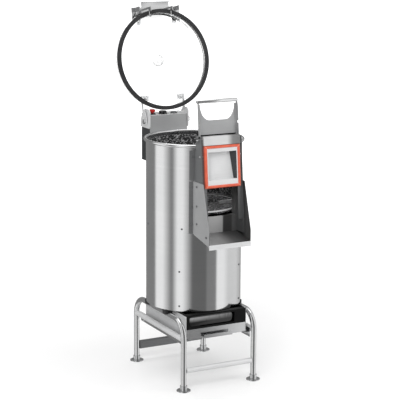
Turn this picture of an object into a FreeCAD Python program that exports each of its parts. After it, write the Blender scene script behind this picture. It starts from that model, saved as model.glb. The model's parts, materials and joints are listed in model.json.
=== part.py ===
import FreeCAD, Part
import math
import os
import Sketcher

# Electric potato peeler on a tube stand. Millimetres, +Z up, loading and outlet side towards -Y.
# Lengths along Y are counted from the drum's axis. Every piece is then moved by axisY,
# because the frame's origin is the centre of the four feet on the floor.

drivingSizes = {
    "axisY": 8,
    # stand
    "tubeR": 11, "tubeWall": 1.5, "standHalf": 156, "legFront": 222, "legRear": 206,
    "hoopTop": 277, "bendR": 70, "sideRailTop": 207, "crossRailTop": 81,
    "rearRailLow": 51, "rearRailTall": 31, "rearRailDeep": 20,
    "footR": 27.5, "footThick": 4, "footSocketR": 14, "footSocketTall": 18,
    "footHoleR": 3.5, "footHoleReach": 20.5,
    "runnerGap": 0.3, "runnerWide": 24, "runnerLow": 176, "runnerTall": 20.5,
    # drum
    "shellR": 190.5, "shellWall": 1.5, "drumLow": 297, "rimTop": 961.3, "beadR": 6.5,
    "linerWall": 3, "linerLow": 700, "linerTop": 942, "floorLevel": 655,
    "discR": 178, "discLow": 684, "discThick": 11, "outletHalf": 79, "outletLow": 678,
    "outletTall": 134, "sheet": 1.5, "screwR": 4.2, "screwTall": 2.6,
    # drive
    "spindleR": 12.5, "housingR": 30, "bearingR": 26, "bearingTall": 15, "pulleyLevel": 516,
    "pulleyTall": 22, "bigPulleyR": 84, "smallPulleyR": 28, "motorY": 130, "motorR": 52,
    "motorTall": 170, "plateLevel": 498, "ductHalf": 45, "ductFront": 160, "ductRear": 100,
    # outlet, chute and door
    "plateY": 196.5, "wallHalf": 86.5, "chuteHalf": 91, "chuteWall": 1.8, "guideTop": 990,
    "chuteFront": 302, "lipTop": 593, "lipTall": 19, "chuteTop": 820, "chuteBack": 176,
    "lean": 5, "doorY": -250.5, "doorZ": 800, "gasketHalf": 80, "gasketTall": 165.5,
    "gasketWide": 13, "gasketDeep": 12, "panHalf": 64, "panRear": 34.5, "recessHalf": 61,
    "recessLow": 32, "recessTop": 139, "headerTop": 200, "handleHalf": 84, "handleTop": 331,
    "handleDeep": 16, "cutHalf": 68, "cutLow": 260, "barR": 5.5, "notchZ": 248, "pinR": 3.5,
    # lid
    "hingeY": 247, "hingeZ": 993.5, "lidOpen": 101.45, "ringGrip": 5.9, "lidWall": 4,
    "lidTop": 1004.5, "ringR": 205.6, "ringWide": 15.6, "ringLow": 962, "ringTall": 12,
    "armHalf": 96.5, "armThick": 4, "knobR": 24, "knobTall": 32, "axleR": 7,
    # control box
    "boxHalf": 85, "boxFront": 225, "boxRear": 303, "boxLow": 829, "boxTop": 1020,
    "stopX": -64, "timerX": -16, "startX": 34, "controlY": 248, "stopR": 13.5, "timerR": 18,
    "startR": 11,
    # peel drawer
    "drawerGap": 11.7, "drawerFront": 200, "drawerRear": 166, "drawerLow": 197,
    "drawerTop": 290, "stripTall": 40, "lipHalf": 62, "trayTop": 295, "trayWall": 3,
}

doc = FreeCAD.newDocument("PotatoPeeler")
sheet = doc.addObject("Spreadsheet::Sheet", "Sizes")
for row, (alias, amount) in enumerate(drivingSizes.items(), start=1):
    sheet.set("A%d" % row, alias)
    sheet.set("B%d" % row, str(amount))
    sheet.setAlias("B%d" % row, alias)
doc.recompute()


class Size:
    # A length that knows both its value and the sheet expression it comes from.
    def __init__(self, text, value):
        self.text = text
        self.value = value

    def joined(self, sign, other, value):
        return Size("(%s %s %s)" % (self.text, sign, asText(other)), value)

    def __add__(self, other):
        return self.joined("+", other, self.value + number(other))

    def __sub__(self, other):
        return self.joined("-", other, self.value - number(other))

    def __mul__(self, other):
        return self.joined("*", other, self.value * number(other))

    def __truediv__(self, other):
        return self.joined("/", other, self.value / number(other))

    def __neg__(self):
        return Size("(0 - %s)" % self.text, -self.value)

    def __rsub__(self, other):
        return Size("(%s - %s)" % (other, self.text), other - self.value)

    __radd__ = __add__
    __rmul__ = __mul__


def asText(amount):
    return amount.text if isinstance(amount, Size) else "(%r)" % float(amount)


def number(amount):
    return amount.value if isinstance(amount, Size) else float(amount)


class Sheet:
    pass


s = Sheet()
for alias in drivingSizes:
    setattr(s, alias, Size("Sizes." + alias, float(sheet.get(alias))))

# The runners hang inside the stand's rails and the drawer between the runners.
runnerHalf = s.standHalf - s.tubeR - s.runnerGap
drawerHalf = runnerHalf - s.drawerGap
# The lid's skirt stands in its rubber ring.
lidR = s.ringR - s.ringGrip
ringInner = s.ringR - s.ringWide

nodes = []


def bind(item, path, amount):
    item.setExpression(path, asText(amount))


def move(item, x=0, y=0, z=0):
    bind(item, "Placement.Base.x", x)
    bind(item, "Placement.Base.y", y)
    bind(item, "Placement.Base.z", z)
    return item


def keep(item, label):
    item.Label = label
    nodes.append(item)
    return item


# Boxes and rods already hold their own place, so they are wrapped before they are moved.
def wrapped(item):
    return group(item) if item.TypeId in ("Part::Box", "Part::Cylinder") else item


# A finished piece stands at the drum's axis.
def onAxis(item, label):
    item = wrapped(item)
    move(item, 0, s.axisY, 0)
    return keep(item, label)


# A finished piece modelled in the leaning frame of the door: its origin is the foot of the
# gasket's front, +Z runs up along the door and -Y points out of it.
def onDoor(item, label):
    item = wrapped(item)
    item.Placement = FreeCAD.Placement(FreeCAD.Vector(), FreeCAD.Rotation(FreeCAD.Vector(-1, 0, 0), 5))
    bind(item, "Placement.Rotation.Angle", s.lean)
    move(item, 0, s.doorY + s.axisY, s.doorZ)
    return keep(item, label)


# A finished piece modelled with the lid shut, its origin on the hinge's axis, and turned open.
def onLid(item, label):
    item.Placement = FreeCAD.Placement(FreeCAD.Vector(), FreeCAD.Rotation(FreeCAD.Vector(-1, 0, 0), 90))
    bind(item, "Placement.Rotation.Angle", s.lidOpen)
    move(item, 0, s.hingeY + s.axisY, s.hingeZ)
    return keep(item, label)


def box(x, y, z):
    item = doc.addObject("Part::Box", "box")
    bind(item, "Length", x[1] - x[0])
    bind(item, "Width", y[1] - y[0])
    bind(item, "Height", z[1] - z[0])
    return move(item, x[0], y[0], z[0])


# A round bar along "x", "y" or "z", from one end to the other.
def rod(radius, ends, axis="z", a=0, b=0):
    item = doc.addObject("Part::Cylinder", "rod")
    bind(item, "Radius", radius)
    bind(item, "Height", ends[1] - ends[0])
    if axis == "x":
        item.Placement = FreeCAD.Placement(FreeCAD.Vector(), FreeCAD.Rotation(FreeCAD.Vector(0, 1, 0), 90))
        return move(item, ends[0], a, b)
    if axis == "y":
        item.Placement = FreeCAD.Placement(FreeCAD.Vector(), FreeCAD.Rotation(FreeCAD.Vector(-1, 0, 0), 90))
        return move(item, a, ends[0], b)
    return move(item, a, b, ends[0])


def fuse(*parts):
    item = doc.addObject("Part::MultiFuse", "fuse")
    item.Shapes = list(parts)
    return item


def cut(base, *tools):
    item = doc.addObject("Part::Cut", "cut")
    item.Base = base
    item.Tool = tools[0] if len(tools) == 1 else fuse(*tools)
    return item


def group(*parts):
    item = doc.addObject("Part::Compound", "group")
    item.Links = list(parts)
    return item


def pipe(outer, inner, ends):
    return cut(rod(outer, ends), rod(inner, ends))


def newBody():
    return doc.addObject("PartDesign::Body", "body")


def newSketch(body, plane, offset=0):
    sketch = body.newObject("Sketcher::SketchObject", "sketch")
    for feature in body.Origin.OriginFeatures:
        if feature.Role == plane:
            sketch.AttachmentSupport = [(feature, "")]
    sketch.MapMode = "FlatFace"
    bind(sketch, "AttachmentOffset.Base.z", offset)
    return sketch


def fixPoint(sketch, geometry, place, x, y):
    for kind, amount, axis in (("DistanceX", x, -2), ("DistanceY", y, -1)):
        if abs(number(amount)) < 1e-9:
            sketch.addConstraint(Sketcher.Constraint("PointOnObject", geometry, place, axis))
            continue
        index = sketch.addConstraint(Sketcher.Constraint(kind, -1, 1, geometry, place, number(amount)))
        bind(sketch, "Constraints[%d]" % index, amount)


def outline(sketch, corners):
    first = sketch.GeometryCount
    points = [FreeCAD.Vector(number(x), number(y), 0) for x, y in corners]
    count = len(points)
    for index in range(count):
        sketch.addGeometry(Part.LineSegment(points[index], points[(index + 1) % count]), False)
    for index in range(count):
        after = first + (index + 1) % count
        sketch.addConstraint(Sketcher.Constraint("Coincident", first + index, 2, after, 1))
    for index, (x, y) in enumerate(corners):
        fixPoint(sketch, first + index, 1, x, y)


def ring(sketch, x, y, radius):
    centre = FreeCAD.Vector(number(x), number(y), 0)
    index = sketch.addGeometry(Part.Circle(centre, FreeCAD.Vector(0, 0, 1), number(radius)), False)
    fixPoint(sketch, index, 3, x, y)
    rule = sketch.addConstraint(Sketcher.Constraint("Radius", index, number(radius)))
    bind(sketch, "Constraints[%d]" % rule, radius)


def pad(body, sketch, length):
    item = body.newObject("PartDesign::Pad", "pad")
    item.Profile = sketch
    bind(item, "Length", length)
    return item


def pocket(body, sketch, depth, flipped=False):
    item = body.newObject("PartDesign::Pocket", "pocket")
    item.Profile = sketch
    item.Reversed = flipped
    bind(item, "Length", depth)
    return item


def revolve(body, sketch):
    item = body.newObject("PartDesign::Revolution", "turned")
    item.Profile = sketch
    item.ReferenceAxis = (sketch, ["V_Axis"])
    item.Angle = 360
    return item


def turned(corners):
    body = newBody()
    sketch = newSketch(body, "XZ_Plane")
    outline(sketch, corners)
    revolve(body, sketch)
    return body


# A flat plate whose outline lies in the YZ plane, between two places along X.
def sidePlate(corners, x):
    body = newBody()
    sketch = newSketch(body, "YZ_Plane", x[0])
    outline(sketch, corners)
    pad(body, sketch, x[1] - x[0])
    return body


def sidePair(side, inner, outer):
    return (inner, outer) if side > 0 else (-outer, -inner)


def edgesWhere(item, test):
    names = []
    for index, edge in enumerate(item.Shape.Edges, start=1):
        middle = edge.valueAt((edge.FirstParameter + edge.LastParameter) / 2)
        if test(edge, middle):
            names.append("Edge%d" % index)
    return names


def roundEdges(body, last, test, radius, kind="PartDesign::Fillet"):
    doc.recompute()
    item = body.newObject(kind, "rounded")
    item.Base = (last, edgesWhere(last, test))
    bind(item, "Radius" if kind.endswith("Fillet") else "Size", radius)
    return item


def isUpright(edge):
    first, last = edge.Vertexes[0].Point, edge.Vertexes[-1].Point
    return abs(first.x - last.x) + abs(first.y - last.y) < 1e-6 and abs(first.z - last.z) > 1e-3


# stand: two bent hoops, four rails, feet, drawer runners and the pads under the drum
def hoop(side):
    body = newBody()
    path = newSketch(body, "YZ_Plane", s.standHalf * side)
    back, front = s.legRear, -s.legFront
    low, top, bend = s.footThick, s.hoopTop, s.bendR
    runs = [
        ((back, low), (back, top - bend)),
        ((back - bend, top), (front + bend, top)),
        ((front, top - bend), (front, low)),
    ]
    for start, end in runs:
        points = [FreeCAD.Vector(number(x), number(y), 0) for x, y in (start, end)]
        index = path.addGeometry(Part.LineSegment(*points), False)
        fixPoint(path, index, 1, *start)
        fixPoint(path, index, 2, *end)
    for centreX, angles, first, second in (
        (back - bend, (0, 90), (0, 2), (1, 1)),
        (front + bend, (90, 180), (2, 1), (1, 2)),
    ):
        centre = FreeCAD.Vector(number(centreX), number(top - bend), 0)
        circle = Part.Circle(centre, FreeCAD.Vector(0, 0, 1), number(bend))
        arc = Part.ArcOfCircle(circle, math.radians(angles[0]), math.radians(angles[1]))
        index = path.addGeometry(arc, False)
        joins = (first, second) if angles[0] == 0 else (second, first)
        path.addConstraint(Sketcher.Constraint("Coincident", index, 1, *joins[0]))
        path.addConstraint(Sketcher.Constraint("Coincident", index, 2, *joins[1]))
    profile = newSketch(body, "XY_Plane", low)
    ring(profile, s.standHalf * side, back, s.tubeR)
    ring(profile, s.standHalf * side, back, s.tubeR - s.tubeWall)
    tube = body.newObject("PartDesign::AdditivePipe", "tube")
    tube.Profile = profile
    tube.Spine = (path, [])
    return body


def stand():
    rails = []
    for side, name in ((-1, "left"), (1, "right")):
        onAxis(hoop(side), "hoop_" + name)
        reach = (-s.legFront + s.tubeR + 0.9, s.legRear - s.tubeR - 0.9)
        rails.append(rod(s.tubeR, reach, "y", s.standHalf * side, s.sideRailTop))
        outer = sidePair(side, runnerHalf - s.sheet, runnerHalf)
        shelf = sidePair(side, runnerHalf - s.runnerWide, runnerHalf)
        length = (-s.legFront + 10, s.legRear - 16)
        top = s.runnerLow + s.runnerTall
        runner = fuse(box(outer, length, (s.runnerLow, s.sideRailTop + 6)), box(shelf, length, (top - s.sheet, top)))
        onAxis(runner, "runner_" + name)
    onAxis(group(*rails), "side_rails")
    across = (-s.standHalf + s.tubeR, s.standHalf - s.tubeR)
    onAxis(rod(s.tubeR - 0.5, across, "x", -s.legFront, s.crossRailTop), "cross_rail_front")
    half = s.rearRailDeep / 2
    rear = box(across, (s.legRear - half, s.legRear + half), (s.rearRailLow, s.rearRailLow + s.rearRailTall))
    onAxis(rear, "cross_rail_rear")
    feet = []
    pads = []
    for side in (-1, 1):
        for y in (-s.legFront, s.legRear):
            x = s.standHalf * side
            foot = fuse(
                rod(s.footR, (0, s.footThick), "z", x, y),
                rod(s.footSocketR, (s.footThick, s.footThick + s.footSocketTall), "z", x, y),
            )
            holes = [rod(s.tubeR + 0.05, (s.footThick, s.footThick + s.footSocketTall), "z", x, y)]
            for turn in (-1, 1):
                reach = y + s.footHoleReach * turn
                holes.append(rod(s.footHoleR, (0, s.footThick), "z", x, reach))
            feet.append(cut(foot, *holes))
        for y in (-80, 80):
            saddle = box((s.standHalf * side - 16, s.standHalf * side + 16), (y - 14, y + 14), (s.hoopTop, s.drumLow))
            tube = rod(s.tubeR + 0.05, (y - 20, y + 20), "y", s.standHalf * side, s.hoopTop)
            pads.append(cut(saddle, tube))
    onAxis(group(*feet), "feet")
    onAxis(group(*pads), "drum_pads")


# drawer with its finger lip, and the plastic peel tray that stands in it
def drawer():
    x = (-drawerHalf, drawerHalf)
    front, rear, wall = -s.drawerFront, s.drawerRear, s.sheet
    shell = cut(
        box(x, (front, rear), (s.drawerLow, s.drawerTop)),
        box((x[0] + wall, x[1] - wall), (front + wall, rear - wall), (s.drawerLow + wall, s.drawerTop)),
        box(x, (front, front + wall), (s.drawerLow + s.stripTall, s.drawerTop)),
        box(x, (rear - wall, rear), (s.drawerLow + 70, s.drawerTop)),
    )
    lip = fuse(
        box((-s.lipHalf, s.lipHalf), (front - 16, front), (s.drawerLow + 2, s.drawerLow + 3.5)),
        box((-s.lipHalf, s.lipHalf), (front - 17.5, front - 16), (s.drawerLow + 2, s.drawerLow + 16)),
    )
    onAxis(fuse(shell, lip), "drawer")

    body = newBody()
    half = drawerHalf - 2.2
    low, top, back = s.drawerLow + s.sheet + 0.3, s.trayTop, s.drawerRear - 3
    start = -s.drawerFront + 2.2
    plan = newSketch(body, "XY_Plane", low)
    outline(plan, [(-half, start), (half, start), (half, back), (-half, back)])
    roundEdges(body, pad(body, plan, top - low), lambda edge, at: isUpright(edge), 14)
    face = newSketch(body, "YZ_Plane", -half - 0.4)
    ledge = s.drawerLow + s.stripTall + 1
    outline(face, [(start - 6, ledge), (start, ledge), (start, top), (start - 6, top)])
    brow = pad(body, face, half * 2 + 0.8)
    roundEdges(body, brow, lambda edge, at: isUpright(edge) and at.y < number(start) - 5, 5)
    wall = s.trayWall
    hollow = newSketch(body, "XY_Plane", low + wall)
    inner = start + 18
    outline(hollow, [(wall - half, inner), (half - wall, inner), (half - wall, back - wall), (wall - half, back - wall)])
    pocket(body, hollow, top - low, True)
    grip = newSketch(body, "XZ_Plane", -start - 12)
    outline(grip, [(-78, ledge + 8), (78, ledge + 8), (78, top - 9), (-78, top - 9)])
    pocket(body, grip, 30, True)
    onAxis(body, "peel_tray")


# drum: shell with a rolled rim, base, chamber floor, abrasive liner
def windowTool(half, low, top):
    return box((-half, half), (-s.shellR - 6, -150), (low, top))


def drum():
    shell = newBody()
    wall = newSketch(shell, "XZ_Plane")
    inner = s.shellR - s.shellWall
    outline(wall, [(inner, s.drumLow), (s.shellR, s.drumLow), (s.shellR, s.rimTop - s.beadR), (inner, s.rimTop - s.beadR)])
    revolve(shell, wall)
    bead = newSketch(shell, "XZ_Plane")
    ring(bead, s.shellR + 3, s.rimTop - s.beadR, s.beadR)
    revolve(shell, bead)
    duct = s.sheet + 0.3
    window = windowTool(s.outletHalf + duct, s.outletLow - duct, s.outletLow + s.outletTall + duct)
    slot = box((-22, 6), (180, 200), (928, 940))
    onAxis(cut(shell, window, slot), "drum_shell")

    within = inner - 0.2
    port = box((-s.ductHalf, s.ductHalf), (-s.ductFront, -s.ductRear), (s.drumLow - 5, s.floorLevel + 5))
    base = cut(rod(within, (s.drumLow, s.drumLow + 3)), port)
    onAxis(base, "drum_base")
    chamber = cut(rod(within, (s.floorLevel, s.floorLevel + 2.5)), rod(20, (s.floorLevel - 1, s.floorLevel + 5)), port)
    onAxis(chamber, "chamber_floor")
    liner = pipe(within, within - s.linerWall, (s.linerLow, s.linerTop))
    opening = windowTool(s.outletHalf + duct, s.outletLow - duct, s.outletLow + s.outletTall + duct)
    spout = box((-22, 6), (180, 200), (928, 940))
    onAxis(cut(liner, opening, spout), "abrasive_liner")


# disc, spindle, bearings, belt drive and motor
def drive():
    top = s.discLow + s.discThick
    disc = fuse(
        rod(s.discR, (s.discLow, top)),
        rod(36, (s.floorLevel + 6, s.discLow)),
        rod(30, (top, top + 11)),
    )
    bump = rod(22, (-140, 140), "x", 0, top - 12)
    disc = cut(fuse(disc, bump), rod(s.spindleR + 0.04, (s.floorLevel, top + 20)))
    onAxis(disc, "abrasive_disc")
    paddles = []
    for turn in (-1, 1):
        y = (-66, -60) if turn < 0 else (60, 66)
        x = (84, 150) if turn < 0 else (-150, -84)
        paddles.append(box(x, y, (top, top + 12)))
    onAxis(group(*paddles), "disc_paddles")
    onAxis(rod(20, (top + 11, top + 21)), "disc_nut")
    onAxis(rod(s.spindleR, (s.pulleyLevel - 6, top + 11)), "spindle")

    housing = fuse(rod(s.housingR, (556, s.floorLevel)), rod(58, (s.floorLevel - 8, s.floorLevel)))
    bores = [
        rod(s.spindleR + 2, (550, 700)),
        rod(s.bearingR + 0.05, (556, 556 + s.bearingTall)),
        rod(s.bearingR + 0.05, (s.floorLevel - s.bearingTall, s.floorLevel)),
    ]
    onAxis(cut(housing, *bores), "bearing_housing")
    rings = []
    for low in (556, s.floorLevel - s.bearingTall):
        rings.append(pipe(s.bearingR, s.spindleR + 0.04, (low, low + s.bearingTall)))
    onAxis(group(*rings), "spindle_bearings")

    level, tall = s.pulleyLevel, s.pulleyTall
    for name, radius, bore, y in (
        ("pulley_large", s.bigPulleyR, s.spindleR + 0.04, 0),
        ("pulley_small", s.smallPulleyR, s.spindleR - 2.46, s.motorY),
    ):
        wheel = turned([
            (bore, level), (radius + 3, level), (radius + 3, level + 2.5), (radius, level + 2.5),
            (radius, level + tall - 2.5), (radius + 3, level + tall - 2.5), (radius + 3, level + tall),
            (bore, level + tall),
        ])
        move(wheel, 0, s.axisY + y, 0)
        keep(wheel, name)
    keep(belt(), "drive_belt")
    plate = s.plateLevel
    sheetIn = s.shellR - s.shellWall - 0.2
    hole = box((-s.ductHalf - 3, s.ductHalf + 3), (-s.ductFront - 3, -s.ductRear + 3), (plate - 2, plate + 8))
    onAxis(cut(rod(sheetIn, (plate, plate + 4)), hole, rod(14, (plate - 2, plate + 6), "z", 0, s.motorY)), "motor_plate")
    body = fuse(rod(s.motorR, (plate - s.motorTall, plate), "z", 0, s.motorY),
                rod(s.motorR - 10, (plate - s.motorTall - 22, plate - s.motorTall), "z", 0, s.motorY))
    onAxis(cut(body, rod(11, (plate - 60, plate), "z", 0, s.motorY)), "motor")
    onAxis(rod(10, (plate - 55, level + tall + 4), "z", 0, s.motorY), "motor_shaft")
    x = (-s.ductHalf, s.ductHalf)
    y = (-s.ductFront, -s.ductRear)
    run = (s.drumLow, s.floorLevel)
    onAxis(cut(box(x, y, run), box((x[0] + 1.5, x[1] - 1.5), (y[0] + 1.5, y[1] - 1.5), run)), "peel_duct")


# The belt follows both pulleys: two arcs and the straight runs that touch them.
def belt():
    item = doc.addObject("Part::Feature", "belt")
    gap = number(s.motorY)
    low = number(s.pulleyLevel) + 4
    high = number(s.pulleyLevel) + number(s.pulleyTall) - 4
    faces = []
    for thick in (4.4, 0.3):
        big = number(s.bigPulleyR) + thick
        small = number(s.smallPulleyR) + thick
        lean = math.asin((big - small) / gap)
        points = []
        for side in (1, -1):
            for radius, y in ((big, 0), (small, gap)):
                x = side * radius * math.cos(lean)
                points.append(FreeCAD.Vector(x, y + radius * math.sin(lean), low))
        edges = [
            Part.LineSegment(points[0], points[1]).toShape(),
            Part.Arc(points[1], FreeCAD.Vector(0, gap + small, low), points[3]).toShape(),
            Part.LineSegment(points[3], points[2]).toShape(),
            Part.Arc(points[2], FreeCAD.Vector(0, -big, low), points[0]).toShape(),
        ]
        faces.append(Part.Face(Part.Wire(edges)))
    item.Shape = faces[0].cut(faces[1]).extrude(FreeCAD.Vector(0, 0, high - low))
    item.Placement = FreeCAD.Placement(FreeCAD.Vector(0, number(s.axisY), 0), FreeCAD.Rotation())
    return item


# outlet plate with its collar, leaning door guides, chute, latch pins and shell screws
def outlet():
    y = (-s.plateY, -s.plateY + s.sheet)
    half, low, top = s.outletHalf, s.outletLow, s.outletLow + s.outletTall
    plate = cut(box((-s.wallHalf, s.wallHalf), y, (606, 835)), box((-half, half), (-s.plateY - 5, -150), (low, top)))
    wall = s.sheet
    sleeve = cut(
        box((-half - wall, half + wall), (-s.plateY + wall, -150), (low - wall, top + wall)),
        box((-half, half), (-s.plateY, -140), (low, top)),
        rod(s.shellR - s.shellWall - 0.2, (low - 5, top + 5)),
    )
    onAxis(fuse(plate, sleeve), "outlet_plate")

    lowPin = (-224.2, 922.2)
    highPin = (-208, 981)
    for side, name in ((-1, "left"), (1, "right")):
        web = sidePlate([
            (-170.2, 616), (-170.2, 938), (-184, 942), (-184, s.guideTop), (-225.5, s.guideTop), (-256.5, 640),
            (-256.5, 616),
        ], sidePair(side, s.wallHalf, s.wallHalf + 2))
        ledge = box(sidePair(side, s.panHalf + 3, s.wallHalf), (12.3, 13.8), (-128, 188))
        rail = group(ledge)
        rail.Placement = FreeCAD.Placement(FreeCAD.Vector(), FreeCAD.Rotation(FreeCAD.Vector(-1, 0, 0), 5))
        bind(rail, "Placement.Rotation.Angle", s.lean)
        move(rail, 0, s.doorY, s.doorZ)
        strip = cut(
            rod(s.shellR + 1.8, (610, 940)),
            rod(s.shellR + 0.3, (600, 950)),
        )
        keepIn = box(sidePair(side, s.wallHalf + 0.5, s.wallHalf + 17), (-190, -140), (822, 938))
        flange = doc.addObject("Part::Common", "flange")
        flange.Base = strip
        flange.Tool = keepIn
        bores = [rod(s.pinR + 0.05, (-110, 110), "x", *lowPin), rod(5.05, (-110, 110), "x", *highPin)]
        onAxis(cut(fuse(web, rail, flange), *bores), "guide_" + name)

        cheek = sidePlate([
            (-s.chuteBack, 610), (-s.chuteBack, s.chuteTop), (-250, s.chuteTop), (-299, 648),
            (-s.chuteFront, 636), (-s.chuteFront, s.lipTop - s.lipTall + 6), (-290, 588),
        ], sidePair(side, s.chuteHalf - s.chuteWall, s.chuteHalf))
        tabIn = box(sidePair(side, s.chuteHalf - 0.5, s.chuteHalf + 14), (-190, -140), (612, 818))
        band = cut(rod(s.shellR + 1.8, (610, 820)), rod(s.shellR + 0.3, (600, 830)))
        tab = doc.addObject("Part::Common", "tab")
        tab.Base = band
        tab.Tool = tabIn
        link = box(sidePair(side, s.chuteHalf - s.chuteWall, s.chuteHalf), (-s.chuteBack - 1, -168.6), (612, 818))
        onAxis(fuse(cheek, link, tab), "chute_side_" + name)

    half = s.chuteHalf - s.chuteWall - 0.2
    slope = sidePlate([(-s.plateY, 614), (-s.plateY, 612), (-s.chuteFront, s.lipTop - 1.6), (-s.chuteFront, s.lipTop)],
                      (-half, half))
    lip = box((-s.chuteHalf, s.chuteHalf), (-s.chuteFront - 1.8, -s.chuteFront), (s.lipTop - s.lipTall, s.lipTop + 0.4))
    onAxis(fuse(slope, lip), "chute_floor")

    pins = []
    for side in (-1, 1):
        inner, outer = sidePair(side, s.handleHalf - 3, s.wallHalf + 5)
        pins.append(rod(s.pinR, (inner, outer), "x", *lowPin))
        inner, outer = sidePair(side, s.wallHalf - 1.5, s.wallHalf + 13)
        pins.append(rod(5, (inner, outer), "x", *highPin))
    onAxis(group(*pins), "latch_pins")


def shellScrews():
    spots = [(-30, 798), (-30, 718), (-30, 649), (30, 798), (30, 718), (30, 649), (-29.3, 912), (29.3, 912)]
    spots += [(-44.3, 457), (-44.3, 318), (44.3, 457), (44.3, 318), (-41.5, 628), (-99, 622), (99, 622)]
    spots += [(135, 318), (-135, 318), (135, 457), (-135, 457)]
    heads = []
    for angle, level in spots:
        head = doc.addObject("Part::Cone", "head")
        bind(head, "Radius1", s.screwR)
        bind(head, "Radius2", s.screwR * 0.7)
        bind(head, "Height", s.screwTall)
        turn = math.radians(angle)
        out = FreeCAD.Vector(math.sin(turn), -math.cos(turn), 0)
        reach = number(s.shellR) + (1.9 if abs(angle) < 35 else 0.1)
        seat = FreeCAD.Vector(out.x * reach, out.y * reach, level)
        head.Placement = FreeCAD.Placement(seat, FreeCAD.Rotation(FreeCAD.Vector(0, 0, 1), out))
        heads.append(head)
    for side in (-1, 1):
        for y, level in ((-200, 802), (-200, 726), (-201, 657), (-279, 619)):
            face = s.chuteHalf
            ends = sidePair(side, face, face + s.screwTall)
            heads.append(rod(s.screwR, ends, "x", y, level))
    onAxis(group(*heads), "screws")


# lift door: gasket, pan, header, handle plate and bar, all in the leaning frame
def door():
    half, wide = s.gasketHalf, s.gasketWide
    tall, deep = s.gasketTall, s.gasketDeep
    gasket = cut(
        box((-half, half), (0, deep), (0, tall)),
        box((wide - half, half - wide), (-5, deep + 5), (wide, tall - wide)),
        box((4 - half, half - 4), (4.9, 6.6), (4, tall - 4)),
    )
    onDoor(gasket, "door_gasket")

    flange = (5, 6.5)
    skin = s.sheet
    plate = box((4.3 - half, half - 4.3), flange, (4.3, tall - 4.3))
    low, top = s.recessLow, s.recessTop
    shellWalls = box((-s.panHalf, s.panHalf), (6.5, s.panRear), (low - 14, top + 3))
    hollow = box((-s.recessHalf - 1.5, s.recessHalf + 1.5), (6, s.panRear - skin), (low - 12.5, top + 1.5))
    mouth = box((-s.recessHalf, s.recessHalf), (-1, 8), (low, top))
    tub = cut(fuse(plate, shellWalls), hollow, mouth)
    lining = sidePlate([
        (6.5, low - skin), (26, low - skin), (s.panRear - skin - 0.3, top), (s.panRear - skin - 0.3, top + 1.2),
        (s.panRear - 3.5, top + 1.2), (25, low), (6.5, low),
    ], (-s.recessHalf - 1.5, s.recessHalf + 1.5))
    onDoor(fuse(tub, lining), "door_pan")

    header = sidePlate([
        (1.5, tall + 0.4), (1.5, s.headerTop), (11.5, s.headerTop), (11.5, s.headerTop - 1.5),
        (3, s.headerTop - 1.5), (3, tall + 0.4),
    ], (1 - half, half - 1))
    rear = s.panRear - 0.2
    ends = [sidePlate([
        (10, s.headerTop - 1.5), (10, s.headerTop), (rear, s.headerTop), (rear, top + 6), (rear - 1.5, top + 6),
        (rear - 1.5, s.headerTop - 1.5),
    ], (-s.panHalf - 2, s.panHalf + 2))]
    for side in (-1, 1):
        ends.append(box(sidePair(side, half - 2.5, half - 1), (1.5, 11.5), (tall + 0.4, s.headerTop)))
    onDoor(fuse(header, *ends), "door_header")

    rear = s.panRear + 1.5
    grip = newBody()
    face = newSketch(grip, "XZ_Plane", -rear)
    outline(face, [(-s.handleHalf, s.headerTop + 0.5), (s.handleHalf, s.headerTop + 0.5), (s.handleHalf, s.handleTop), (-s.handleHalf, s.handleTop)])
    pad(grip, face, 1.5)
    foot = newSketch(grip, "XZ_Plane", -rear)
    start = s.headerTop - 40
    outline(foot, [(2.5 - half, start), (half - 2.5, start), (half - 2.5, s.headerTop + 0.5), (2.5 - half, s.headerTop + 0.5)])
    pad(grip, foot, 1.5)
    notch = s.notchZ
    for side in (-1, 1):
        flangeX = sidePair(side, s.handleHalf - 1.5, s.handleHalf)
        wing = newSketch(grip, "YZ_Plane", flangeX[0])
        front = rear - s.handleDeep
        outline(wing, [
            (rear, s.headerTop + 0.5), (front, s.headerTop + 0.5), (front, notch - 5), (front + 9, notch - 5),
            (front + 9, notch + 5), (front, notch + 5), (front, s.handleTop - 24), (rear - 10, s.handleTop),
            (rear, s.handleTop),
        ])
        pad(grip, wing, flangeX[1] - flangeX[0])
    hand = newSketch(grip, "XZ_Plane", -rear - 2)
    top = s.handleTop
    outline(hand, [(-s.cutHalf, top + 5), (-s.cutHalf, s.cutLow + 34), (-s.cutHalf + 34, s.cutLow), (s.cutHalf - 34, s.cutLow), (s.cutHalf, s.cutLow + 34), (s.cutHalf, top + 5)])
    pocket(grip, hand, 6, True)
    onDoor(grip, "door_handle_plate")
    barZ = s.handleTop - 4.5
    bar = rod(s.barR, (-s.handleHalf + 1.6, s.handleHalf - 1.6), "x", rear - 7.2, barZ)
    onDoor(bar, "door_handle_bar")


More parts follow.
